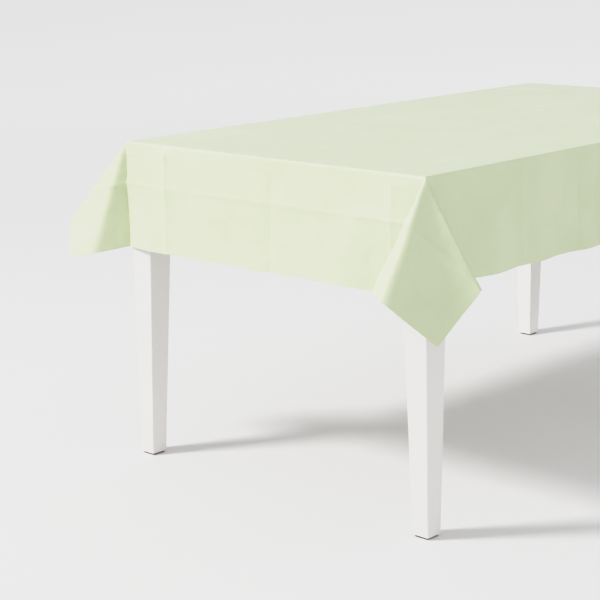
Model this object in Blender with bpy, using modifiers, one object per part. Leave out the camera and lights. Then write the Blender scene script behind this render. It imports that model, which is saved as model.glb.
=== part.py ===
"""A tablecloth draped over a four-legged dining table.

Units are metres, +Z is up.  The origin is on the floor under the middle of
the table; +X runs along the table's length and +Y towards its rear side.
The table is a knock-down design: aprons joined at the corners by steel
brackets, and each leg pulled into its corner by one hanger bolt and nut.
"""

import math

import bmesh
import bpy
from mathutils import Matrix, Vector

# ------------------------------------------------------------------ sizes

TOP_L = 1.537            # table top, length
TOP_W = 0.897            # table top, width
TOP_T = 0.022            # table top, thickness
TOP_Z = 0.7485           # height of the bare table top's upper face
TOP_ROUND = 0.005        # rounding of the table top's edges

LEG_BLOCK = 0.0685       # square leg section at the apron
LEG_FOOT = 0.0415        # square leg section at the floor
LEG_TAPER_TOP = 0.635    # height where the taper starts
LEG_FACE_X = 0.766       # outer face of the legs, from the table's middle
LEG_FACE_Y = 0.446
PAD_T = 0.003            # foot pad thickness
PAD_SIDE = 0.034

APRON_T = 0.018
APRON_H = 0.085
APRON_INSET = 0.008      # apron's outer face behind the leg's outer face

BRACKET_T = 0.002
BRACKET_H = 0.055
BRACKET_FLANGE = 0.028
BOLT_R = 0.004
BOLT_Z = 0.684
SCREW_R = 0.002
RAIL_W = 0.060
RAIL_T = 0.018

CLOTH_T = 0.001          # sheet thickness
CLOTH_GAP = 0.0005       # gap between the sheet and the table top
DROP_END = 0.245         # sheet hanging over each short end
DROP_SIDE = 0.225        # sheet hanging over each long side

GAP = 0.0003             # gap between touching pieces

LEG_TOP_Z = TOP_Z - TOP_T - GAP
LEG_BOTTOM_Z = PAD_T + GAP
APRON_TOP_Z = TOP_Z - TOP_T - GAP
APRON_MID_Z = APRON_TOP_Z - APRON_H / 2
LONG_Y = LEG_FACE_Y - APRON_INSET - APRON_T / 2      # mid-plane of a long apron
SHORT_X = LEG_FACE_X - APRON_INSET - APRON_T / 2     # mid-plane of a short apron

# (name, x sign, y sign): left is -X, front is -Y
CORNERS = [
    ("left_front", -1, -1),
    ("left_rear", -1, 1),
    ("right_rear", 1, 1),
    ("right_front", 1, -1),
]

# ------------------------------------------------------------------ scene

for old in list(bpy.data.objects):
    bpy.data.objects.remove(old, do_unlink=True)

scene = bpy.context.scene
parts = bpy.data.collections.new("tablecloth_on_table")
cutters = bpy.data.collections.new("cutters")
scene.collection.children.link(parts)
scene.collection.children.link(cutters)


def material(name, colour, roughness, metallic=0.0):
    mat = bpy.data.materials.new(name)
    mat.use_nodes = True
    shader = mat.node_tree.nodes["Principled BSDF"]
    shader.inputs["Base Color"].default_value = (*colour, 1.0)
    shader.inputs["Roughness"].default_value = roughness
    shader.inputs["Metallic"].default_value = metallic
    mat.diffuse_color = (*colour, 1.0)
    return mat


FILM = material("pale_green_film", (0.70, 0.76, 0.60), 0.42)
PAINT = material("white_paint", (0.86, 0.85, 0.84), 0.38)
PINE = material("raw_pine", (0.66, 0.49, 0.31), 0.62)
ZINC = material("zinc_steel", (0.62, 0.63, 0.65), 0.35, 1.0)
FELT = material("brown_felt", (0.13, 0.09, 0.07), 0.95)


def own(mat, name):
    copy = mat.copy()
    copy.name = name + "_material"
    return copy


def finish_object(name, bm, mat, smooth=None, collection=None):
    """Turn a bmesh into a named object with its own material."""
    bmesh.ops.recalc_face_normals(bm, faces=bm.faces)
    mesh = bpy.data.meshes.new(name)
    bm.to_mesh(mesh)
    bm.free()
    if smooth is not None:
        mesh.shade_smooth()
        mesh.set_sharp_from_angle(angle=math.radians(smooth))
    obj = bpy.data.objects.new(name, mesh)
    (collection or parts).objects.link(obj)
    if mat is not None:
        mesh.materials.append(own(mat, name))
    return obj


def bevel(obj, width, segments=2):
    mod = obj.modifiers.new("bevel", "BEVEL")
    mod.width = width
    mod.segments = segments
    mod.limit_method = "ANGLE"
    mod.angle_limit = math.radians(40)
    mod.use_clamp_overlap = True
    return mod


def cut(obj):
    """Cut every fastener hole that passes through this piece."""
    mod = obj.modifiers.new("holes", "BOOLEAN")
    mod.operation = "DIFFERENCE"
    mod.operand_type = "COLLECTION"
    mod.collection = cutters
    mod.solver = "EXACT"
    return mod


def box(name, size, centre, mat, round_edge=None, segments=2):
    bm = bmesh.new()
    bmesh.ops.create_cube(bm, size=1.0)
    bmesh.ops.scale(bm, vec=Vector(size), verts=bm.verts)
    bmesh.ops.translate(bm, vec=Vector(centre), verts=bm.verts)
    obj = finish_object(name, bm, mat)
    if round_edge:
        bevel(obj, round_edge, segments)
    return obj


def along(point, direction, roll=0.0):
    """Matrix that puts +Z along direction, starting at point."""
    turn = Vector(direction).normalized().to_track_quat("Z", "Y").to_matrix().to_4x4()
    return Matrix.Translation(Vector(point)) @ turn @ Matrix.Rotation(roll, 4, "Z")


def turned(name, profile, matrix, mat, sides, collection=None, smooth=35):
    """A turned piece: rings of (radius, height) joined by cone sections."""
    bm = bmesh.new()
    rings = []
    for radius, height in profile:
        if radius < 1e-6:
            rings.append([bm.verts.new((0.0, 0.0, height))])
            continue
        made = bmesh.ops.create_circle(
            bm,
            cap_ends=False,
            segments=sides,
            radius=radius,
            matrix=Matrix.Translation((0, 0, height)),
        )
        rings.append(made["verts"])
    for low, high in zip(rings, rings[1:]):
        n = max(len(low), len(high))
        for i in range(n):
            j = (i + 1) % n
            quad = [low[i % len(low)], low[j % len(low)], high[j % len(high)], high[i % len(high)]]
            face = []
            for vert in quad:
                if vert not in face:
                    face.append(vert)
            bm.faces.new(face)
    if len(rings[0]) > 1 and rings[0] is not rings[-1]:
        if profile[0] != profile[-1]:
            bm.faces.new(list(reversed(rings[0])))
            bm.faces.new(rings[-1]) if len(rings[-1]) > 1 else None
    bmesh.ops.transform(bm, matrix=matrix, verts=bm.verts)
    return finish_object(name, bm, mat, smooth, collection)


def hide_cutter(obj):
    obj.hide_render = True
    obj.display_type = "WIRE"
    return obj


def hole(name, point, direction, radius, length, start=-0.002):
    """A round hole from just outside the surface at point, along direction."""
    bm = bmesh.new()
    bmesh.ops.create_cone(
        bm,
        cap_ends=True,
        cap_tris=False,
        segments=16,
        radius1=radius,
        radius2=radius,
        depth=length - start,
        matrix=along(point, direction) @ Matrix.Translation((0, 0, (length + start) / 2)),
    )
    return hide_cutter(finish_object(name, bm, None, collection=cutters))


def wood_screw(name, seat, direction, length):
    """A pan-head wood screw whose head sits on the surface at seat."""
    direction = Vector(direction).normalized()
    profile = [
        (0.0024, -0.0030),
        (0.0042, -0.0017),
        (0.0042, -GAP),
        (SCREW_R, -GAP),
        (SCREW_R, length - 0.005),
        (0.0004, length),
    ]
    return turned(name, profile, along(seat, direction), ZINC, 12)


# ------------------------------------------------------------------ table

top = box(
    "table_top",
    (TOP_L, TOP_W, TOP_T),
    (0, 0, TOP_Z - TOP_T / 2),
    PAINT,
    round_edge=TOP_ROUND,
    segments=3,
)
cut(top)

APRON_LONG_L = 2 * (LEG_FACE_X - LEG_BLOCK - GAP)
APRON_SHORT_L = 2 * (LEG_FACE_Y - LEG_BLOCK - GAP)
for name, sy in (("apron_front", -1), ("apron_rear", 1)):
    cut(
        box(
            name,
            (APRON_LONG_L, APRON_T, APRON_H),
            (0, sy * LONG_Y, APRON_MID_Z),
            PAINT,
            round_edge=0.0012,
            segments=1,
        )
    )
for name, sx in (("apron_left", -1), ("apron_right", 1)):
    cut(
        box(
            name,
            (APRON_T, APRON_SHORT_L, APRON_H),
            (sx * SHORT_X, 0, APRON_MID_Z),
            PAINT,
            round_edge=0.0012,
            segments=1,
        )
    )


def leg(name, sx, sy):
    """A square leg, tapered on its two inner faces below the aprons."""
    bm = bmesh.new()
    bmesh.ops.create_cube(bm, size=1.0)
    height = LEG_TOP_Z - LEG_BOTTOM_Z
    bmesh.ops.scale(bm, vec=(LEG_BLOCK, LEG_BLOCK, height), verts=bm.verts)
    bmesh.ops.translate(
        bm,
        vec=(
            sx * (LEG_FACE_X - LEG_BLOCK / 2),
            sy * (LEG_FACE_Y - LEG_BLOCK / 2),
            (LEG_TOP_Z + LEG_BOTTOM_Z) / 2,
        ),
        verts=bm.verts,
    )
    bmesh.ops.bisect_plane(
        bm,
        geom=bm.verts[:] + bm.edges[:] + bm.faces[:],
        plane_co=(0, 0, LEG_TAPER_TOP),
        plane_no=(0, 0, 1),
    )
    inner_x = LEG_FACE_X - LEG_BLOCK
    inner_y = LEG_FACE_Y - LEG_BLOCK
    for vert in bm.verts:
        if vert.co.z > LEG_BOTTOM_Z + 1e-4:
            continue
        if abs(abs(vert.co.x) - inner_x) < 1e-4:
            vert.co.x = sx * (LEG_FACE_X - LEG_FOOT)
        if abs(abs(vert.co.y) - inner_y) < 1e-4:
            vert.co.y = sy * (LEG_FACE_Y - LEG_FOOT)
    obj = finish_object(name, bm, PAINT)
    bevel(obj, 0.002, 2)
    cut(obj)
    return obj


for corner, sx, sy in CORNERS:
    leg("leg_" + corner, sx, sy)
    box(
        "foot_pad_" + corner,
        (PAD_SIDE, PAD_SIDE, PAD_T),
        (sx * (LEG_FACE_X - LEG_FOOT / 2), sy * (LEG_FACE_Y - LEG_FOOT / 2), PAD_T / 2),
        FELT,
        round_edge=0.0008,
        segments=1,
    )

# ------------------------------------------------------- corner hardware

LEG_INNER = Vector((LEG_FACE_X - LEG_BLOCK, LEG_FACE_Y - LEG_BLOCK, 0))
APRON_BACK = APRON_INSET + APRON_T      # apron's inner face behind the leg's outer face
WEB_OUT = 0.010                         # bracket web's distance from the leg's inner edge


def plan_point(sx, sy, dx, dy, z):
    """A point offset towards the table's middle from a leg's inner edge."""
    return Vector((sx * (LEG_INNER.x - dx), sy * (LEG_INNER.y - dy), z))


def corner_bracket(name, sx, sy):
    """A bent steel strip: flange on one apron, diagonal web, flange on the other."""
    # distance from the leg's inner edge to each apron's inner face, outwards
    reach = LEG_BLOCK - APRON_BACK
    face = -(reach - GAP - BRACKET_T / 2)            # strip mid-line against an apron
    lead = WEB_OUT * math.sqrt(2) + BRACKET_T / 2    # web mid-line: dx + dy = lead
    corner_run = lead - face                         # where the web meets the flange line
    outline = [
        (corner_run + BRACKET_FLANGE, face),
        (corner_run, face),
        (face, corner_run),
        (face, corner_run + BRACKET_FLANGE),
    ]
    bm = bmesh.new()
    z0 = BOLT_Z - BRACKET_H / 2
    line = [bm.verts.new(plan_point(sx, sy, dx, dy, z0)) for dx, dy in outline]
    edges = [bm.edges.new((a, b)) for a, b in zip(line, line[1:])]
    made = bmesh.ops.extrude_edge_only(bm, edges=edges)
    raised = [v for v in made["geom"] if isinstance(v, bmesh.types.BMVert)]
    bmesh.ops.translate(bm, vec=(0, 0, BRACKET_H), verts=raised)
    mesh = bpy.data.meshes.new(name)
    bm.to_mesh(mesh)
    bm.free()
    obj = bpy.data.objects.new(name, mesh)
    parts.objects.link(obj)
    mesh.materials.append(own(ZINC, name))
    thick = obj.modifiers.new("plate", "SOLIDIFY")
    thick.thickness = BRACKET_T
    thick.offset = 0.0
    thick.use_even_offset = True
    cut(obj)
    return corner_run, face


for corner, sx, sy in CORNERS:
    corner_run, face = corner_bracket("corner_bracket_" + corner, sx, sy)
    inward = Vector((-sx, -sy, 0)).normalized()
    edge = plan_point(sx, sy, 0, 0, BOLT_Z)
    # the hanger bolt runs from inside the leg to the far side of the nut
    bolt_start = edge - inward * 0.034
    turned(
        "hanger_bolt_" + corner,
        [
            (0.0008, 0.0),
            (BOLT_R, 0.006),
            (BOLT_R, 0.0655),
            (BOLT_R - 0.001, 0.0665),
        ],
        along(bolt_start, inward),
        ZINC,
        16,
    )
    hole("bolt_hole_" + corner, bolt_start, inward, BOLT_R + GAP, 0.080, start=-0.001)
    # the web's inner face, measured along the bolt from the leg's inner edge
    web_face = (WEB_OUT * math.sqrt(2) + BRACKET_T / 2) / math.sqrt(2) + BRACKET_T / 2
    washer_seat = edge + inward * (web_face + GAP)
    turned(
        "washer_" + corner,
        [
            (BOLT_R + 0.0004, 0.0),
            (0.010, 0.0),
            (0.010, 0.0016),
            (BOLT_R + 0.0004, 0.0016),
            (BOLT_R + 0.0004, 0.0),
        ],
        along(washer_seat, inward),
        ZINC,
        20,
    )
    nut_seat = washer_seat + inward * (0.0016 + GAP)
    across = 0.013
    cut(
        turned(
            "hex_nut_" + corner,
            [
                (across / 2, 0.0),
                (across / math.sqrt(3), 0.0009),
                (across / math.sqrt(3), 0.0056),
                (across / 2, 0.0065),
            ],
            along(nut_seat, inward),
            ZINC,
            6,
            smooth=None,
        )
    )
    # one screw through each flange
    seat_run = corner_run + BRACKET_FLANGE * 0.55
    flange_face = face + BRACKET_T / 2
    for side, (dx, dy), way in (
        ("side", (seat_run, flange_face), (0, sy, 0)),
        ("end", (flange_face, seat_run), (sx, 0, 0)),
    ):
        seat = plan_point(sx, sy, dx, dy, BOLT_Z)
        wood_screw(f"bracket_screw_{side}_{corner}", seat, way, 0.016)
        hole(f"bracket_hole_{side}_{corner}", seat, way, SCREW_R + GAP, 0.0165, start=-0.001)

# ------------------------------------------------- top clips and cross rail

CLIP_LEG = 0.020
CLIP_W = 0.020
CLIP_X = 0.340
for clip, sx, sy in (
    ("left_front", -1, -1),
    ("left_rear", -1, 1),
    ("right_rear", 1, 1),
    ("right_front", 1, -1),
):
    face_y = sy * (LONG_Y - APRON_T / 2 - GAP)           # clip's face on the apron
    roof_z = APRON_TOP_Z                                 # clip's face under the top
    bm = bmesh.new()
    line = [
        bm.verts.new((sx * CLIP_X - CLIP_W / 2, y, z))
        for y, z in (
            (face_y - sy * BRACKET_T / 2, roof_z - CLIP_LEG),
            (face_y - sy * BRACKET_T / 2, roof_z - BRACKET_T / 2),
            (face_y - sy * CLIP_LEG, roof_z - BRACKET_T / 2),
        )
    ]
    edges = [bm.edges.new((a, b)) for a, b in zip(line, line[1:])]
    made = bmesh.ops.extrude_edge_only(bm, edges=edges)
    raised = [v for v in made["geom"] if isinstance(v, bmesh.types.BMVert)]
    bmesh.ops.translate(bm, vec=(CLIP_W, 0, 0), verts=raised)
    mesh = bpy.data.meshes.new("top_clip_" + clip)
    bm.to_mesh(mesh)
    bm.free()
    obj = bpy.data.objects.new("top_clip_" + clip, mesh)
    parts.objects.link(obj)
    mesh.materials.append(own(ZINC, "top_clip_" + clip))
    thick = obj.modifiers.new("plate", "SOLIDIFY")
    thick.thickness = BRACKET_T
    thick.offset = 0.0
    thick.use_even_offset = True
    cut(obj)
    apron_seat = (sx * CLIP_X, face_y - sy * BRACKET_T, roof_z - CLIP_LEG * 0.62)
    top_seat = (sx * CLIP_X, face_y - sy * CLIP_LEG * 0.62, roof_z - BRACKET_T)
    wood_screw("clip_screw_apron_" + clip, apron_seat, (0, sy, 0), 0.016)
    hole("clip_hole_apron_" + clip, apron_seat, (0, sy, 0), SCREW_R + GAP, 0.0165, start=-0.001)
    wood_screw("clip_screw_top_" + clip, top_seat, (0, 0, 1), 0.016)
    hole("clip_hole_top_" + clip, top_seat, (0, 0, 1), SCREW_R + GAP, 0.0165, start=-0.001)

RAIL_L = 2 * (LONG_Y - APRON_T / 2 - GAP)
cut(
    box(
        "cross_rail",
        (RAIL_W, RAIL_L, RAIL_T),
        (0, 0, APRON_TOP_Z - RAIL_T / 2),
        PINE,
        round_edge=0.0015,
        segments=1,
    )
)
for name, sy in (("front", -1), ("rear", 1)):
    seat = (0, sy * 0.30, APRON_TOP_Z - RAIL_T)
    wood_screw("rail_screw_" + name, seat, (0, 0, 1), 0.032)
    hole("rail_hole_" + name, seat, (0, 0, 1), SCREW_R + GAP, 0.0325, start=-0.001)

# --------------------------------------------------------------- tablecloth

# Each hanging corner is a folded cone with its tip on the table's corner.
# A fold line is a direction (across the end, across the side, down) from that
# tip: positive numbers point away from the table.  "end" is outwards over the
# short end and "side" outwards over the long side.
SWEPT_CORNER = [          # the flap swings round to stand out past the side
    (0.000, 0.000, 1.000),
    (-0.174, 0.000, 0.985),
    (0.030, 0.400, 0.916),
    (0.050, 0.722, 0.690),
    (-0.342, 0.000, 0.940),
]
SQUARE_CORNER = [         # the flap hangs on the diagonal
    (0.000, -0.176, 0.984),
    (0.282, -0.327, 0.902),
    (0.339, -0.160, 0.927),
    (-0.145, 0.464, 0.874),
    (-0.065, 0.000, 0.998),
]
FOLDS = {
    "left_front": SQUARE_CORNER,
    "left_rear": SWEPT_CORNER,
    "right_rear": SQUARE_CORNER,
    "right_front": SWEPT_CORNER,
}
CORNER_RUN = 0.12         # size of the square of sheet worked around each corner
CLOTH_L = TOP_L / 2 + CLOTH_GAP
CLOTH_W = TOP_W / 2 + CLOTH_GAP
CLOTH_Z = TOP_Z + CLOTH_GAP


def cone_rays(folds):
    """Fold lines as (turn in the flat sheet, direction), from edge to edge.

    The turn is measured in the flat sheet about the corner, from the short
    end's edge (0) over the end's drop (90), the corner square, the side's
    drop (180) to the long side's edge (270).
    """
    edge_end = Vector((0, -1, 0))      # along the short end, away from the corner
    edge_side = Vector((-1, 0, 0))     # along the long side, away from the corner
    directions = [Vector((e, s, -d)).normalized() for e, s, d in folds]
    chain = [edge_end] + directions + [edge_side]
    steps = [math.degrees(a.angle(b)) for a, b in zip(chain, chain[1:])]
    # the parts lying flat on the table's faces keep their true turns, and the
    # free flap between them takes up what is left of the 270 degrees
    first, last = steps[0], 270.0 - steps[-1]
    share = (last - first) / sum(steps[1:-1])
    turns = [0.0, first]
    for step in steps[1:-1]:
        turns.append(turns[-1] + step * share)
    turns.append(270.0)
    return list(zip(turns, chain))


def on_cone(rays, turn):
    """Direction on the folded cone at a turn in the flat sheet."""
    for (t0, d0), (t1, d1) in zip(rays, rays[1:]):
        if turn <= t1 + 1e-6:
            part = min(max((turn - t0) / (t1 - t0), 0.0), 1.0)
            return d0.slerp(d1, part)
    return rays[-1][1]


def flat_reach(turn):
    """Distance from the corner to the rim of its square of sheet, at a turn."""
    rad = math.radians(turn - 90)
    out_end, out_side = math.cos(rad), math.sin(rad)
    best = 10.0
    if out_end > 1e-6:
        best = min(best, DROP_END / out_end)
    if out_end < -1e-6:
        best = min(best, CORNER_RUN / -out_end)
    if out_side > 1e-6:
        best = min(best, DROP_SIDE / out_side)
    if out_side < -1e-6:
        best = min(best, CORNER_RUN / -out_side)
    return best


bm = bmesh.new()
made = {}


def sheet_vert(point):
    key = tuple(round(c, 5) for c in point)
    if key not in made:
        made[key] = bm.verts.new(point)
    return made[key]


def sheet_face(points):
    verts = []
    for point in points:
        vert = sheet_vert(point)
        if vert not in verts:
            verts.append(vert)
    if len(verts) > 2:
        bm.faces.new(verts)


def corner_point(sx, sy, out_end, out_side, down):
    return (
        sx * (CLOTH_L + out_end),
        sy * (CLOTH_W + out_side),
        CLOTH_Z - down,
    )


RINGS = (0.05, 0.5, 1.0)
for corner, sx, sy in CORNERS:
    rays = cone_rays(FOLDS[corner])
    knee_end = math.degrees(math.atan2(DROP_END, CORNER_RUN))
    knee_side = 270 - math.degrees(math.atan2(DROP_SIDE, CORNER_RUN))
    tip = 90 + math.degrees(math.atan2(DROP_SIDE, DROP_END))
    turns = sorted(set([0.0, knee_end, knee_side, tip, 270.0, 315.0] + [t for t, _ in rays]))
    rim = []
    for turn in turns:
        if turn <= 270.0:
            way = on_cone(rays, turn)
        else:
            way = Vector((-1, -1, 0)).normalized()
        rim.append((way, flat_reach(turn)))
    rim.append(rim[0])
    for (w0, r0), (w1, r1) in zip(rim, rim[1:]):
        last = 0.0
        for ring in RINGS:
            quad = []
            for way, reach, level in (
                (w0, r0, last),
                (w0, r0, ring),
                (w1, r1, ring),
                (w1, r1, last),
            ):
                offset = way * reach * level
                quad.append(corner_point(sx, sy, offset.x, offset.y, -offset.z))
            sheet_face(quad)
            last = ring

STEPS = 6
in_x = CLOTH_L - CORNER_RUN
in_y = CLOTH_W - CORNER_RUN
xs = [-in_x + 2 * in_x * i / STEPS for i in range(STEPS + 1)]
ys = [-in_y, 0.0, in_y]
for x0, x1 in zip(xs, xs[1:]):
    for y0, y1 in zip(ys, ys[1:]):
        sheet_face([(x, y, CLOTH_Z) for x, y in ((x0, y0), (x1, y0), (x1, y1), (x0, y1))])
    for sy in (-1, 1):
        y_in, y_out = sy * in_y, sy * CLOTH_W
        sheet_face([(x0, y_in, CLOTH_Z), (x1, y_in, CLOTH_Z), (x1, y_out, CLOTH_Z), (x0, y_out, CLOTH_Z)])
        low = CLOTH_Z - DROP_SIDE
        sheet_face([(x0, y_out, CLOTH_Z), (x1, y_out, CLOTH_Z), (x1, y_out, low), (x0, y_out, low)])
for y0, y1 in zip(ys, ys[1:]):
    for sx in (-1, 1):
        x_in, x_out = sx * in_x, sx * CLOTH_L
        sheet_face([(x_in, y0, CLOTH_Z), (x_in, y1, CLOTH_Z), (x_out, y1, CLOTH_Z), (x_out, y0, CLOTH_Z)])
        low = CLOTH_Z - DROP_END
        sheet_face([(x_out, y0, CLOTH_Z), (x_out, y1, CLOTH_Z), (x_out, y1, low), (x_out, y0, low)])

bmesh.ops.remove_doubles(bm, verts=bm.verts, dist=0.00005)
bmesh.ops.recalc_face_normals(bm, faces=bm.faces)
bm.faces.ensure_lookup_table()
middle = max(bm.faces, key=lambda f: -f.calc_center_median().xy.length)
if middle.normal.z < 0:
    bmesh.ops.reverse_faces(bm, faces=bm.faces)
mesh = bpy.data.meshes.new("tablecloth")
bm.to_mesh(mesh)
bm.free()
cloth = bpy.data.objects.new("tablecloth", mesh)
parts.objects.link(cloth)
mesh.materials.append(own(FILM, "tablecloth"))
thick = cloth.modifiers.new("sheet", "SOLIDIFY")
thick.thickness = CLOTH_T
thick.offset = 1.0
thick.use_even_offset = False
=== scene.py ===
"""Looks for the tablecloth on a table: the draped film sheet, painted and bare
wood, steel and felt finishes, a pale studio floor, light and camera."""

import math

import bpy
import numpy as np
from mathutils import Matrix, Vector


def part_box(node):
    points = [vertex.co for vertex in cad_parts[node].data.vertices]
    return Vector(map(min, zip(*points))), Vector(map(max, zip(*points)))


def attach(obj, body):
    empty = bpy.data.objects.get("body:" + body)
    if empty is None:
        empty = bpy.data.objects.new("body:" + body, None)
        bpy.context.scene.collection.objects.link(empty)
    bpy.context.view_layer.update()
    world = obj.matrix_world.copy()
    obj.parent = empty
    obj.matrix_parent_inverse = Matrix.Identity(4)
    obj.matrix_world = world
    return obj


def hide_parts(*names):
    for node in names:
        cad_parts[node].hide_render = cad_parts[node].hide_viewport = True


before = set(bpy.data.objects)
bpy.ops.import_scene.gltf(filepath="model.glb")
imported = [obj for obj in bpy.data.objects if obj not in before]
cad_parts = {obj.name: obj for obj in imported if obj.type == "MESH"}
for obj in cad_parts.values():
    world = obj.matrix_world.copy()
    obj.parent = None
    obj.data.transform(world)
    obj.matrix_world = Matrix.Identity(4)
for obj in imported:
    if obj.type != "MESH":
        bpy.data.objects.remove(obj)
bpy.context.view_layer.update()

# ---------------------------------------------------------------- node tools


def new_material(name):
    mat = bpy.data.materials.new(name)
    mat.use_nodes = True
    tree = mat.node_tree
    tree.nodes.clear()
    out = tree.nodes.new("ShaderNodeOutputMaterial")
    shader = tree.nodes.new("ShaderNodeBsdfPrincipled")
    tree.links.new(shader.outputs["BSDF"], out.inputs["Surface"])
    return mat, tree, shader


def node(tree, kind, **inputs):
    made = tree.nodes.new(kind)
    for key, value in inputs.items():
        if key in made.inputs:
            made.inputs[key].default_value = value
        else:
            setattr(made, key, value)
    return made


def coords(tree, scale=(1, 1, 1), rotation=(0, 0, 0)):
    """Object coordinates are the model's own metres, so patterns keep real sizes."""
    tex = tree.nodes.new("ShaderNodeTexCoord")
    mapping = tree.nodes.new("ShaderNodeMapping")
    mapping.inputs["Scale"].default_value = scale
    mapping.inputs["Rotation"].default_value = rotation
    tree.links.new(tex.outputs["Object"], mapping.inputs["Vector"])
    return mapping.outputs["Vector"]


def noise(tree, vector, scale, detail=2.0, rough=0.5, distortion=0.0):
    made = tree.nodes.new("ShaderNodeTexNoise")
    made.inputs["Scale"].default_value = scale
    made.inputs["Detail"].default_value = detail
    made.inputs["Roughness"].default_value = rough
    made.inputs["Distortion"].default_value = distortion
    tree.links.new(vector, made.inputs["Vector"])
    return made.outputs["Fac"]


def ramp(tree, value, stops):
    made = tree.nodes.new("ShaderNodeValToRGB")
    elements = made.color_ramp.elements
    while len(elements) < len(stops):
        elements.new(0.5)
    for element, (place, colour) in zip(elements, stops):
        element.position = place
        element.color = (*colour, 1.0) if len(colour) == 3 else colour
    tree.links.new(value, made.inputs["Fac"])
    return made.outputs["Color"]


def grey_range(tree, value, low, high, lo_in=0.3, hi_in=0.7):
    made = tree.nodes.new("ShaderNodeMapRange")
    made.inputs["From Min"].default_value = lo_in
    made.inputs["From Max"].default_value = hi_in
    made.inputs["To Min"].default_value = low
    made.inputs["To Max"].default_value = high
    tree.links.new(value, made.inputs["Value"])
    return made.outputs["Result"]


def bump(tree, height, strength, distance, normal=None):
    made = tree.nodes.new("ShaderNodeBump")
    made.inputs["Strength"].default_value = strength
    made.inputs["Distance"].default_value = distance
    tree.links.new(height, made.inputs["Height"])
    if normal is not None:
        tree.links.new(normal, made.inputs["Normal"])
    return made.outputs["Normal"]


def math_node(tree, operation, a, b):
    made = tree.nodes.new("ShaderNodeMath")
    made.operation = operation
    for k, value in enumerate((a, b)):
        if isinstance(value, (int, float)):
            made.inputs[k].default_value = value
        else:
            tree.links.new(value, made.inputs[k])
    return made.outputs["Value"]


def srgb(r, g, b):
    def lin(c):
        c /= 255.0
        return c / 12.92 if c <= 0.04045 else ((c + 0.055) / 1.055) ** 2.4

    return (lin(r), lin(g), lin(b))


# ---------------------------------------------------------------- materials


def film_material():
    """Thin soft plastic film: satin, with faint mottling and micro-crumple."""
    mat, tree, shader = new_material("pale_green_film")
    at = coords(tree)
    mottle = noise(tree, at, 7.0, 3.0, 0.55)
    colour = ramp(
        tree,
        mottle,
        [(0.30, srgb(212, 223, 188)), (0.72, srgb(218, 228, 195))],
    )
    tree.links.new(colour, shader.inputs["Base Color"])
    gloss = noise(tree, at, 24.0, 3.0, 0.6)
    tree.links.new(grey_range(tree, gloss, 0.36, 0.50), shader.inputs["Roughness"])
    fine = noise(tree, at, 420.0, 2.0, 0.5)
    crumple = noise(tree, at, 46.0, 3.0, 0.62, 0.9)
    first = bump(tree, fine, 0.10, 0.0006)
    tree.links.new(bump(tree, crumple, 0.16, 0.004, first), shader.inputs["Normal"])
    shader.inputs["IOR"].default_value = 1.47
    shader.inputs["Specular IOR Level"].default_value = 0.42
    shader.inputs["Sheen Weight"].default_value = 0.08
    shader.inputs["Sheen Roughness"].default_value = 0.4
    return mat


def paint_material():
    """Satin white paint over wood: faint brush lay, slightly warmer worn edges."""
    mat, tree, shader = new_material("white_paint")
    tall = coords(tree, scale=(1, 1, 0.12))
    lay = noise(tree, tall, 160.0, 3.0, 0.6)
    patch = noise(tree, coords(tree), 5.0, 2.0, 0.5)
    geometry = tree.nodes.new("ShaderNodeNewGeometry")
    worn = ramp(
        tree,
        geometry.outputs["Pointiness"],
        [(0.50, (0, 0, 0)), (0.62, (1, 1, 1))],
    )
    base = ramp(
        tree, patch, [(0.3, srgb(236, 234, 232)), (0.7, srgb(240, 238, 236))]
    )
    mix = tree.nodes.new("ShaderNodeMix")
    mix.data_type = "RGBA"
    mix.inputs["B"].default_value = (*srgb(228, 222, 213), 1)
    tree.links.new(math_node(tree, "MULTIPLY", worn, 0.35), mix.inputs["Factor"])
    tree.links.new(base, mix.inputs["A"])
    tree.links.new(mix.outputs["Result"], shader.inputs["Base Color"])
    tree.links.new(grey_range(tree, patch, 0.34, 0.46), shader.inputs["Roughness"])
    tree.links.new(bump(tree, lay, 0.12, 0.0006), shader.inputs["Normal"])
    shader.inputs["Specular IOR Level"].default_value = 0.45
    return mat


def pine_material():
    mat, tree, shader = new_material("raw_pine")
    long = coords(tree, scale=(9.0, 0.7, 9.0))
    wave = tree.nodes.new("ShaderNodeTexWave")
    wave.wave_type = "BANDS"
    wave.bands_direction = "X"
    wave.inputs["Scale"].default_value = 2.6
    wave.inputs["Distortion"].default_value = 5.0
    wave.inputs["Detail"].default_value = 3.0
    wave.inputs["Detail Scale"].default_value = 1.2
    tree.links.new(long, wave.inputs["Vector"])
    grain = ramp(
        tree,
        wave.outputs["Fac"],
        [(0.0, srgb(196, 158, 110)), (0.6, srgb(224, 190, 143)), (1.0, srgb(172, 128, 82))],
    )
    tree.links.new(grain, shader.inputs["Base Color"])
    fibre = noise(tree, coords(tree, scale=(1, 0.05, 1)), 700.0, 3.0, 0.6)
    tree.links.new(bump(tree, fibre, 0.3, 0.0008), shader.inputs["Normal"])
    shader.inputs["Roughness"].default_value = 0.62
    return mat


def steel_material(name, tone, rough_low, rough_high):
    mat, tree, shader = new_material(name)
    at = coords(tree)
    spangle = tree.nodes.new("ShaderNodeTexVoronoi")
    spangle.inputs["Scale"].default_value = 240.0
    tree.links.new(at, spangle.inputs["Vector"])
    colour = ramp(
        tree,
        spangle.outputs["Distance"],
        [(0.0, tuple(c * 0.86 for c in tone)), (0.8, tone)],
    )
    tree.links.new(colour, shader.inputs["Base Color"])
    shader.inputs["Metallic"].default_value = 1.0
    tree.links.new(
        grey_range(tree, noise(tree, at, 180.0, 2.0), rough_low, rough_high),
        shader.inputs["Roughness"],
    )
    tree.links.new(
        bump(tree, noise(tree, at, 900.0, 2.0), 0.12, 0.0003), shader.inputs["Normal"]
    )
    return mat


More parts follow.
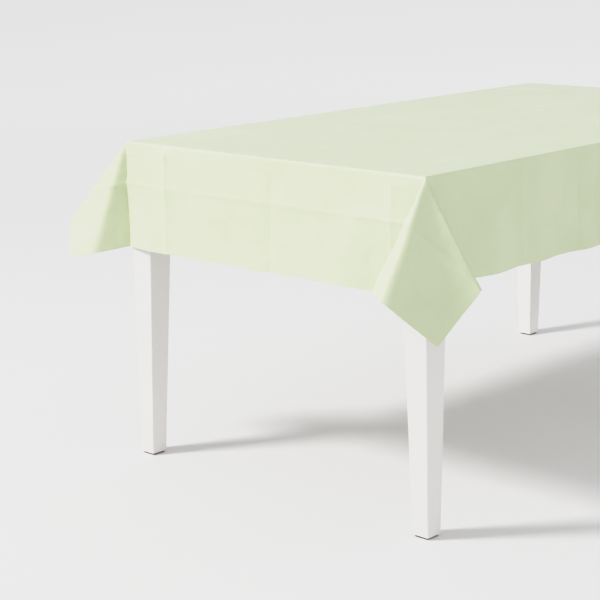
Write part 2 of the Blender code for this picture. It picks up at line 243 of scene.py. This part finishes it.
def felt_material():
    mat, tree, shader = new_material("brown_felt")
    at = coords(tree)
    fuzz = noise(tree, at, 1500.0, 4.0, 0.7)
    colour = ramp(tree, fuzz, [(0.3, srgb(70, 50, 38)), (0.7, srgb(116, 88, 68))])
    tree.links.new(colour, shader.inputs["Base Color"])
    tree.links.new(bump(tree, fuzz, 0.7, 0.0008), shader.inputs["Normal"])
    shader.inputs["Roughness"].default_value = 0.95
    shader.inputs["Sheen Weight"].default_value = 0.4
    shader.inputs["Sheen Roughness"].default_value = 0.5
    return mat


FILM = film_material()
PAINT = paint_material()
PINE = pine_material()
PLATE = steel_material("zinc_plate", (0.60, 0.61, 0.63), 0.30, 0.46)
FASTENER = steel_material("zinc_fastener", (0.66, 0.66, 0.67), 0.22, 0.38)
FELT = felt_material()

for name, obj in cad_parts.items():
    if name == "tablecloth":
        continue
    if name.startswith(("leg_", "apron_")) or name == "table_top":
        mat = PAINT
    elif name == "cross_rail":
        mat = PINE
    elif name.startswith("foot_pad"):
        mat = FELT
    elif name.startswith(("corner_bracket", "top_clip")):
        mat = PLATE
    else:
        mat = FASTENER
    if not obj.material_slots:
        obj.data.materials.append(mat)
    for slot in obj.material_slots:
        slot.material = mat

# ------------------------------------------------------------ the film sheet

TOP_LO, TOP_HI = (Vector(c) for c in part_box("table_top"))
FILM_T = 0.0008
CLEAR = 0.0004
HX = TOP_HI.x + CLEAR
HY = TOP_HI.y + CLEAR
HZ = TOP_HI.z + CLEAR
DROP_END = 0.245
DROP_SIDE = 0.225
FLAT_L = 2 * (HX + DROP_END)
FLAT_W = 2 * (HY + DROP_SIDE)

# Folds of each hanging corner. Each is where the fold lies on the flat sheet
# (degrees round the table's corner, from along the short end's edge to along
# the long side's), how softly it turns (degrees), and its direction from the
# corner: (outwards over the short end, outwards over the long side, down).
STANDING = [  # the flap stands out past the long side
    (90.0, 1.2, (0.010, 0.010, 1.000)),
    (96.3, 1.3, (-0.095, 0.028, 0.995)),
    (118.0, 2.0, (0.215, 0.245, 0.945)),
    (146.2, 0.7, (0.098, 0.687, 0.720)),
    (194.5, 1.4, (-0.250, 0.000, 0.968)),
]
DIAGONAL = [  # the flap hangs across the corner
    (77.2, 1.0, (0.000, -0.222, 0.975)),
    (95.7, 0.7, (0.298, -0.317, 0.900)),
    (108.0, 1.4, (0.384, -0.121, 0.915)),
    (112.5, 2.6, (0.346, -0.056, 0.937)),
    (118.4, 2.0, (0.252, -0.021, 0.967)),
    (143.5, 4.0, (-0.095, 0.241, 0.966)),
    (156.4, 2.2, (-0.205, 0.420, 0.884)),
    (183.1, 1.2, (-0.054, 0.000, 0.999)),
]
CORNER_FOLDS = {
    (-1, 1): STANDING,
    (-1, -1): DIAGONAL,
    (1, 1): DIAGONAL,
    (1, -1): STANDING,
}

# Packing creases, as distances on the flat sheet from its middle.
CREASES_U = [-0.865, -0.660, -0.462, -0.262, -0.062, 0.138, 0.338, 0.538, 0.738, 0.938]
CREASES_V = [-0.362, -0.021, 0.311]


def unit(v):
    v = np.asarray(v, float)
    return v / np.linalg.norm(v)


def cone_table(folds):
    """Directions on a folded corner, one for each quarter degree of the flat sheet."""
    turns = [0.0, *[f[0] for f in folds], 270.0]
    soft = [0.5, *[f[1] for f in folds], 0.5]
    chain = [unit((0, -1, 0)), *[unit((e, s, -d)) for _, _, (e, s, d) in folds], unit((-1, 0, 0))]
    grid = np.linspace(0.0, 270.0, 1081)
    sharp = np.empty((grid.size, 3))
    for i, turn in enumerate(grid):
        k = min(max(int(np.searchsorted(turns, turn, side="right")) - 1, 0), len(chain) - 2)
        a, b = chain[k], chain[k + 1]
        part = (turn - turns[k]) / (turns[k + 1] - turns[k])
        whole = math.acos(float(np.clip(np.dot(a, b), -1, 1)))
        sharp[i] = (
            math.sin((1 - part) * whole) * a + math.sin(part * whole) * b
        ) / math.sin(whole)
    out = np.empty_like(sharp)
    for i, turn in enumerate(grid):
        width = float(np.interp(turn, turns, soft))
        weight = np.exp(-0.5 * ((grid - turn) / width) ** 2)
        reach = min(turn, 270.0 - turn)
        weight[np.abs(grid - turn) > max(reach, 0.125)] = 0.0
        out[i] = unit((weight[:, None] * sharp).sum(0))
    return out


CONES = {key: cone_table(folds) for key, folds in CORNER_FOLDS.items()}


def folded(u, v):
    """Where each point of the flat sheet lies when every fold is sharp."""
    shape = u.shape
    u, v = u.ravel(), v.ravel()
    out = np.empty((u.size, 3))
    sx = np.where(u >= 0, 1.0, -1.0)
    sy = np.where(v >= 0, 1.0, -1.0)
    a = np.abs(u) - HX
    b = np.abs(v) - HY
    flat = (a <= 0) & (b <= 0)
    out[flat, 0] = u[flat]
    out[flat, 1] = v[flat]
    out[flat, 2] = 0.0
    for key, table in CONES.items():
        sel = (~flat) & (sx == key[0]) & (sy == key[1])
        aa, bb = a[sel], b[sel]
        rho = np.hypot(aa, bb)
        turn = np.degrees(np.arctan2(aa, -bb)) % 360.0
        turn = np.clip(turn, 0.0, 270.0) * 4.0
        low = np.minimum(turn.astype(int), table.shape[0] - 2)
        part = (turn - low)[:, None]
        way = table[low] * (1 - part) + table[low + 1] * part
        spot = way * rho[:, None]
        out[sel, 0] = key[0] * (HX + spot[:, 0])
        out[sel, 1] = key[1] * (HY + spot[:, 1])
        out[sel, 2] = spot[:, 2]
    return out.reshape(*shape, 3)


def rounded(u, v, radius, taps=7):
    """The folded sheet with every fold eased over the given radius."""
    offsets = np.linspace(-2.2, 2.2, taps)
    weights = np.exp(-0.5 * offsets**2)
    weights /= weights.sum()
    total = np.zeros((*u.shape, 3))
    for wu, du in zip(weights, offsets * radius):
        for wv, dv in zip(weights, offsets * radius):
            total += wu * wv * folded(u + du, v + dv)
    return total


def lines(half, edge, lying, hanging, fine, marks, reach):
    """Grid lines from -half to half: wide where the sheet lies, closer where it hangs and near each mark."""
    places = [-half]
    while places[-1] < half:
        at = places[-1]
        pitch = hanging if abs(at) > edge else lying
        near = min((abs(at - m) for m in marks), default=9.0)
        step = fine + (pitch - fine) * min(max((near - reach) / (3 * reach), 0.0), 1.0)
        places.append(at + step)
    places = np.array(places)
    return (places - places[0]) / (places[-1] - places[0]) * 2 * half - half


U = lines(FLAT_L / 2, HX, 0.0150, 0.0050, 0.0027, [*CREASES_U, -HX, HX], 0.0042)
V = lines(FLAT_W / 2, HY, 0.0150, 0.0048, 0.0027, [*CREASES_V, -HY, HY], 0.0042)
print("sheet grid", U.size, V.size, (U.size - 1) * (V.size - 1))
UU, VV = np.meshgrid(U, V, indexing="ij")
P = rounded(UU, VV, 0.0032)


def smooth_noise(u, v, scale, seed):
    """Seeded lattice noise with soft steps, about -1 to 1."""
    rng = np.random.default_rng(seed)
    lattice = rng.uniform(-1, 1, (256, 256))
    x, y = u * scale + 40.0, v * scale + 40.0
    x0, y0 = np.floor(x).astype(int), np.floor(y).astype(int)
    fx, fy = x - x0, y - y0
    fx = fx * fx * fx * (fx * (fx * 6 - 15) + 10)
    fy = fy * fy * fy * (fy * (fy * 6 - 15) + 10)

    def g(i, j):
        return lattice[(x0 + i) % 256, (y0 + j) % 256]

    return (g(0, 0) * (1 - fx) + g(1, 0) * fx) * (1 - fy) + (
        g(0, 1) * (1 - fx) + g(1, 1) * fx
    ) * fy


def surface_normals(points):
    du = np.gradient(points, axis=0)
    dv = np.gradient(points, axis=1)
    n = np.cross(du, dv)
    return n / np.maximum(np.linalg.norm(n, axis=2, keepdims=True), 1e-12)


N = surface_normals(P)
over_end = np.clip(np.abs(UU) - HX, 0, None)      # how far past the short end's edge
over_side = np.clip(np.abs(VV) - HY, 0, None)     # how far past the long side's edge
on_top = (over_end <= 0) & (over_side <= 0)
corner = (over_end > 0) & (over_side > 0)

lift = np.zeros_like(UU)

# Hanging skirts bow outwards a little, and their hems wave.
end_depth = np.clip(over_end / DROP_END, 0, 1)
side_depth = np.clip(over_side / DROP_SIDE, 0, 1)
end_mask = np.where(over_side > 0, 0.0, 1.0) * np.clip((HY - np.abs(VV)) / 0.10, 0, 1)
side_mask = np.where(over_end > 0, 0.0, 1.0) * np.clip((HX - np.abs(UU)) / 0.12, 0, 1)
end_mask = end_mask * end_mask * (3 - 2 * end_mask)
side_mask = side_mask * side_mask * (3 - 2 * side_mask)
lift += end_mask * end_depth**1.3 * (
    0.0065 + 0.0035 * np.cos(VV * 2 * math.pi / 0.62 + 1.3) + 0.0018 * np.cos(VV * 2 * math.pi / 0.21 + 0.4)
)
lift += side_mask * side_depth**1.6 * (
    0.0060
    + 0.0058 * np.cos((UU + 0.56) * 2 * math.pi / 0.155 + 0.5 * np.sin(UU * 5))
    + 0.0030 * np.cos(UU * 2 * math.pi / 0.41 + 2.0)
)

# Packing creases: a sharp ridge or valley with a gentle hinge on each side.
# On the top they can only stand up; on the skirts they go either way.
skirt = np.clip((over_end + over_side) / 0.02, 0, 1)


def crease(across, along, place, sign, seed, strength=1.0):
    s = np.abs(across - place)
    size = strength * (0.62 + 0.38 * smooth_noise(along, along * 0 + seed, 8.0, 20 + seed))
    sharp = np.exp(-s / 0.0055)
    hinge = np.exp(-s / 0.038)
    hanging = sign * size * (0.0021 * sharp + 0.0030 * hinge)
    lying = size * (0.00055 * sharp + 0.0004 * hinge)
    return hanging * skirt + lying * (1 - skirt)


for k, place in enumerate(CREASES_U):
    lift += crease(UU, VV, place, 1 if k % 2 == 0 else -1, k)
for k, place in enumerate(CREASES_V):
    lift += crease(VV, UU, place, (1, -1, 1)[k], 40 + k, 1.0 + 0.8 * end_mask)

# Soft handling dimples and a finer crumple left by the packing.
dimple = (
    0.60 * smooth_noise(UU, VV, 11.0, 1)
    + 0.42 * smooth_noise(UU + 3, VV, 23.0, 2)
    + 0.20 * smooth_noise(UU, VV + 5, 48.0, 3)
)
ridged = 0.5 - np.abs(smooth_noise(UU + 0.35 * VV, VV - 0.2 * UU, 17.0, 5))
ridged += 0.5 * (0.5 - np.abs(smooth_noise(UU - 0.4 * VV, VV + 0.3 * UU, 37.0, 6)))
lift += dimple * (0.00018 + 0.0019 * skirt) + ridged * (0.00022 + 0.0011 * skirt)

# Beside the top panel's edge the sheet can't go inwards either.
below_panel = np.clip((np.maximum(over_end, over_side) - 0.026) / 0.012, 0, 1)
top_floor = np.where(on_top, 0.0, 0.0002 - 0.0014 * below_panel)
lift = np.maximum(lift, np.where(on_top, np.maximum(lift, 0.0), top_floor))
P = P + N * lift[..., None]

# Clear of the table: never inside its upper face.
P[..., 2] = np.where(on_top, np.maximum(P[..., 2], 0.0), P[..., 2])


def sheet_object(name, inner):
    """A closed sheet FILM_T thick, from its inner face outwards, with square cut edges."""
    rows, cols = inner.shape[:2]
    skin = surface_normals(inner) * FILM_T
    verts = np.concatenate([(inner + skin).reshape(-1, 3), inner.reshape(-1, 3)])
    verts[:, 2] += HZ
    count = rows * cols
    i = np.arange(rows - 1)[:, None] * cols + np.arange(cols - 1)[None, :]
    outer = np.stack([i, i + cols, i + cols + 1, i + 1], -1).reshape(-1, 4)
    under = outer[:, ::-1] + count
    ring = np.concatenate(
        [
            np.arange(rows - 1) * cols,
            (rows - 1) * cols + np.arange(cols - 1),
            (np.arange(rows - 1, 0, -1)) * cols + cols - 1,
            np.arange(cols - 1, 0, -1),
        ]
    )
    nxt = np.roll(ring, -1)
    rim = np.stack([ring, ring + count, nxt + count, nxt], -1)
    faces = np.concatenate([outer, under, rim])
    made = bpy.data.meshes.new(name)
    made.from_pydata(verts.tolist(), [], faces.tolist())
    made.update()
    smooth = np.ones(len(faces), bool)
    smooth[-len(rim):] = False
    made.polygons.foreach_set("use_smooth", smooth)
    ends = np.empty(len(made.edges) * 2, int)
    made.edges.foreach_get("vertices", ends)
    ends = ends.reshape(-1, 2)
    edge = np.zeros(2 * count, bool)
    edge[ring] = True
    edge[ring + count] = True
    mark = made.attributes.new("sharp_edge", "BOOLEAN", "EDGE")
    mark.data.foreach_set("value", edge[ends].all(1))
    made.materials.append(FILM)
    obj = bpy.data.objects.new(name, made)
    bpy.context.scene.collection.objects.link(obj)
    return obj


cloth = sheet_object("tablecloth_sheet", P)
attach(cloth, "tablecloth")
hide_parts("tablecloth")

# ------------------------------------------------------------ studio


def stage_material():
    """Pale seamless floor; its far reaches glow a little, painted light rising with distance so they read
    like a lit backdrop.
    """
    mat, tree, shader = new_material("studio_floor")
    at = coords(tree)
    tone = ramp(
        tree,
        noise(tree, at, 0.8, 2.0),
        [(0.3, srgb(234, 233, 233)), (0.7, srgb(236, 235, 235))],
    )
    tree.links.new(tone, shader.inputs["Base Color"])
    shader.inputs["Roughness"].default_value = 0.75
    shader.inputs["Specular IOR Level"].default_value = 0.2
    # Painted light: the floor's own emission grows with distance from the table, standing in for the
    # backdrop's lighting.
    away = tree.nodes.new("ShaderNodeVectorMath")
    away.operation = "LENGTH"
    tree.links.new(at, away.inputs[0])
    glow = tree.nodes.new("ShaderNodeMapRange")
    glow.interpolation_type = "SMOOTHSTEP"
    glow.inputs["From Min"].default_value = 1.6
    glow.inputs["From Max"].default_value = 9.0
    glow.inputs["To Min"].default_value = 0.0
    glow.inputs["To Max"].default_value = 0.22
    tree.links.new(away.outputs["Value"], glow.inputs["Value"])
    shader.inputs["Emission Color"].default_value = (1, 1, 1, 1)
    tree.links.new(glow.outputs["Result"], shader.inputs["Emission Strength"])
    return mat


bpy.ops.mesh.primitive_plane_add(size=120.0, location=(0, 0, -0.0002))
floor = bpy.context.object
floor.name = "studio_floor"
floor.data.materials.append(stage_material())

world = bpy.data.worlds.new("studio")
bpy.context.scene.world = world
world.use_nodes = True
back = world.node_tree.nodes["Background"]
back.inputs["Color"].default_value = (*srgb(243, 244, 246), 1)
back.inputs["Strength"].default_value = 0.77

# A round softbox up and to the left of the far corner, even across the set.
key_data = bpy.data.lights.new("key", "AREA")
key_data.shape = "DISK"
key_data.size = 0.95
key_data.energy = 1.0
key_data.color = (1.0, 0.985, 0.965)
key_data.use_nodes = True
key_tree = key_data.node_tree
key_tree.nodes.clear()
key_out = key_tree.nodes.new("ShaderNodeOutputLight")
key_glow = key_tree.nodes.new("ShaderNodeEmission")
key_even = key_tree.nodes.new("ShaderNodeLightFalloff")
key_even.inputs["Strength"].default_value = 7.35
key_tree.links.new(key_even.outputs["Constant"], key_glow.inputs["Strength"])
key_tree.links.new(key_glow.outputs["Emission"], key_out.inputs["Surface"])
key = bpy.data.objects.new("key", key_data)
bpy.context.scene.collection.objects.link(key)
key.location = (-3.28, 1.93, 3.38)
key.rotation_mode = "QUATERNION"
key.rotation_quaternion = (key.location - Vector((0, 0, 0.4))).to_track_quat("Z", "Y")

# A weak broad fill from the front right opens the shaded faces.
fill_data = bpy.data.lights.new("fill", "SUN")
fill_data.energy = 0.31
fill_data.angle = math.radians(70)
fill = bpy.data.objects.new("fill", fill_data)
bpy.context.scene.collection.objects.link(fill)
fill.rotation_mode = "QUATERNION"
fill.rotation_quaternion = Vector((0.72, -0.62, 0.32)).to_track_quat("Z", "Y")

# ------------------------------------------------------------ camera

AZ, EL, ROLL = math.radians(-45.51085), math.radians(13.03091), math.radians(-1.35009)
FOCAL_PX = 1679.393
cam_data = bpy.data.cameras.new("camera")
cam = bpy.data.objects.new("camera", cam_data)
bpy.context.scene.collection.objects.link(cam)
back_dir = Vector(
    (math.sin(AZ) * math.cos(EL), -math.cos(AZ) * math.cos(EL), math.sin(EL))
)
right = (-back_dir).cross(Vector((0, 0, 1))).normalized()
up = right.cross(-back_dir)
right2 = math.cos(ROLL) * right + math.sin(ROLL) * up
up2 = -math.sin(ROLL) * right + math.cos(ROLL) * up
turn = Matrix((right2, up2, back_dir)).transposed()
cam.rotation_mode = "QUATERNION"
cam.rotation_quaternion = turn.to_quaternion()
cam.location = (-3.2387271, -2.5260473, 1.2555245)
cam_data.sensor_width = 36.0
cam_data.lens = 36.0 * FOCAL_PX / 600.0
cam_data.clip_start = 0.05
cam_data.clip_end = 300.0
bpy.context.scene.camera = cam

bpy.context.scene.view_settings.view_transform = "Standard"
bpy.context.scene.view_settings.look = "None"

# The photograph's soft shoulder: whites are held back and lose a little colour.
view = bpy.context.scene.view_settings
view.use_curve_mapping = True
tone = view.curve_mapping
tone.white_level = (2.0, 2.0, 2.0)
shoulder = tone.curves[3]
for x, y in ((0.20, 0.40), (0.32, 0.635), (0.40, 0.742), (0.457, 0.798), (0.575, 0.850)):
    shoulder.points.new(x, y)
shoulder.points[-1].location = (1.0, 0.93)
tone.update()
